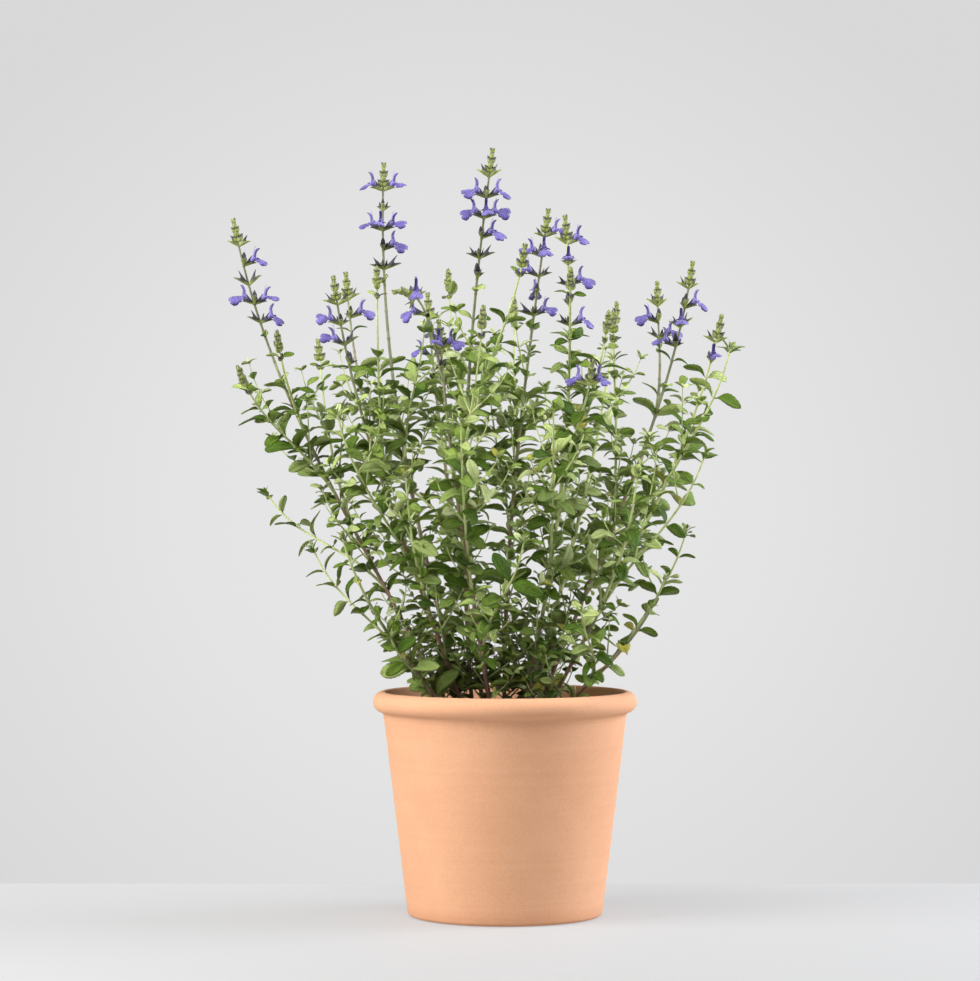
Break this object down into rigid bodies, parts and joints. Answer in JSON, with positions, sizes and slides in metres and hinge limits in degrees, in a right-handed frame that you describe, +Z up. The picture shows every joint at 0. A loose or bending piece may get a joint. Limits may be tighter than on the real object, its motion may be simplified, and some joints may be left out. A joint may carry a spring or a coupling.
{
  "type": "potted sage",
  "caption": "Flowering small-leaved sage with violet-blue two-lipped flowers, growing in soil in a plain round terracotta pot with a rolled rim.",
  "frame": {"origin": "middle of the pot's flat foot, where it stands", "axes": "+Z up along the pot's axis, -Y towards the front as in the picture, +X to the right"},
  "size_m": [0.4072, 0.3245, 0.6076],
  "materials": {
    "terracotta": "matte, unglazed",
    "potting_soil": "matte, crumbly",
    "leaf_green": "matte, finely veined",
    "violet_petal": "matte, downy"
  },
  "bodies": {
    "root": {"pot": "terracotta", "soil": "potting_soil", "leafy_stem_left_tall": "leaf_green", "bloom_left_tall_1": "violet_petal", "bloom_left_tall_2": "violet_petal", "bloom_left_tall_3": "violet_petal", "bloom_left_tall_4": "violet_petal", "leafy_stem_left_inner": "leaf_green", "bloom_left_inner_1": "violet_petal", "bloom_left_inner_2": "violet_petal", "bloom_left_inner_3": "violet_petal", "leafy_stem_left_middle": "leaf_green", "bloom_left_middle_1": "violet_petal", "bloom_left_middle_2": "violet_petal", "bloom_left_middle_3": "violet_petal", "bloom_left_middle_4": "violet_petal", "bloom_left_middle_5": "violet_petal", "bloom_left_middle_6": "violet_petal", "leafy_stem_front": "leaf_green", "bloom_front_1": "violet_petal", "bloom_front_2": "violet_petal", "bloom_front_3": "violet_petal", "bloom_front_4": "violet_petal", "bloom_front_5": "violet_petal", "leafy_stem_middle_tall": "leaf_green", "bloom_middle_tall_1": "violet_petal", "bloom_middle_tall_2": "violet_petal", "bloom_middle_tall_3": "violet_petal", "bloom_middle_tall_4": "violet_petal", "bloom_middle_tall_5": "violet_petal", "bloom_middle_tall_6": "violet_petal", "leafy_stem_middle_right": "leaf_green", "bloom_middle_right_1": "violet_petal", "bloom_middle_right_2": "violet_petal", "bloom_middle_right_3": "violet_petal", "bloom_middle_right_4": "violet_petal", "bloom_middle_right_5": "violet_petal", "bloom_middle_right_6": "violet_petal", "leafy_stem_right_middle": "leaf_green", "bloom_right_middle_1": "violet_petal", "bloom_right_middle_2": "violet_petal", "bloom_right_middle_3": "violet_petal", "bloom_right_middle_4": "violet_petal", "bloom_right_middle_5": "violet_petal", "bloom_right_middle_6": "violet_petal", "leafy_stem_right_flowering": "leaf_green", "bloom_right_flowering_1": "violet_petal", "bloom_right_flowering_2": "violet_petal", "bloom_right_flowering_3": "violet_petal", "bloom_right_flowering_4": "violet_petal", "bloom_right_flowering_5": "violet_petal", "leafy_stem_right_outer": "leaf_green", "bloom_right_outer_1": "violet_petal", "leafy_stem_right_low": "leaf_green", "leafy_stem_left_low": "leaf_green", "leafy_stem_back_left": "leaf_green", "bloom_back_left_1": "violet_petal", "bloom_back_left_2": "violet_petal", "bloom_back_left_3": "violet_petal", "leafy_stem_back_right": "leaf_green"}
  },
  "joints": []
}
